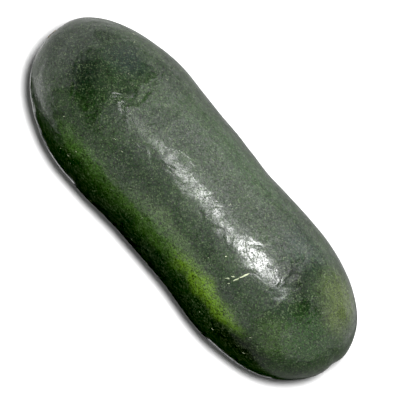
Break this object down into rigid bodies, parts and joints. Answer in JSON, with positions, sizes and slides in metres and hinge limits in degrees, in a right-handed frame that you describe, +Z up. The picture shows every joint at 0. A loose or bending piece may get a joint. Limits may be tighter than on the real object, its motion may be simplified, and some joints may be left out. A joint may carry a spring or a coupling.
{
  "type": "winter melon",
  "caption": "Whole winter melon: a long, slightly waisted gourd with domed ends, a corky stem scar and a blossom scar, lying on its side on small flats.",
  "frame": {"origin": "on the ground, under the middle of the melon's box", "axes": "+X along the melon from its stem end to its blossom end, +Y towards the side where both ends reach a little further out, +Z up"},
  "size_m": [0.56, 0.2048, 0.2025],
  "materials": {
    "rind": "satin"
  },
  "bodies": {
    "root": {"winter_melon": "rind"}
  },
  "joints": []
}
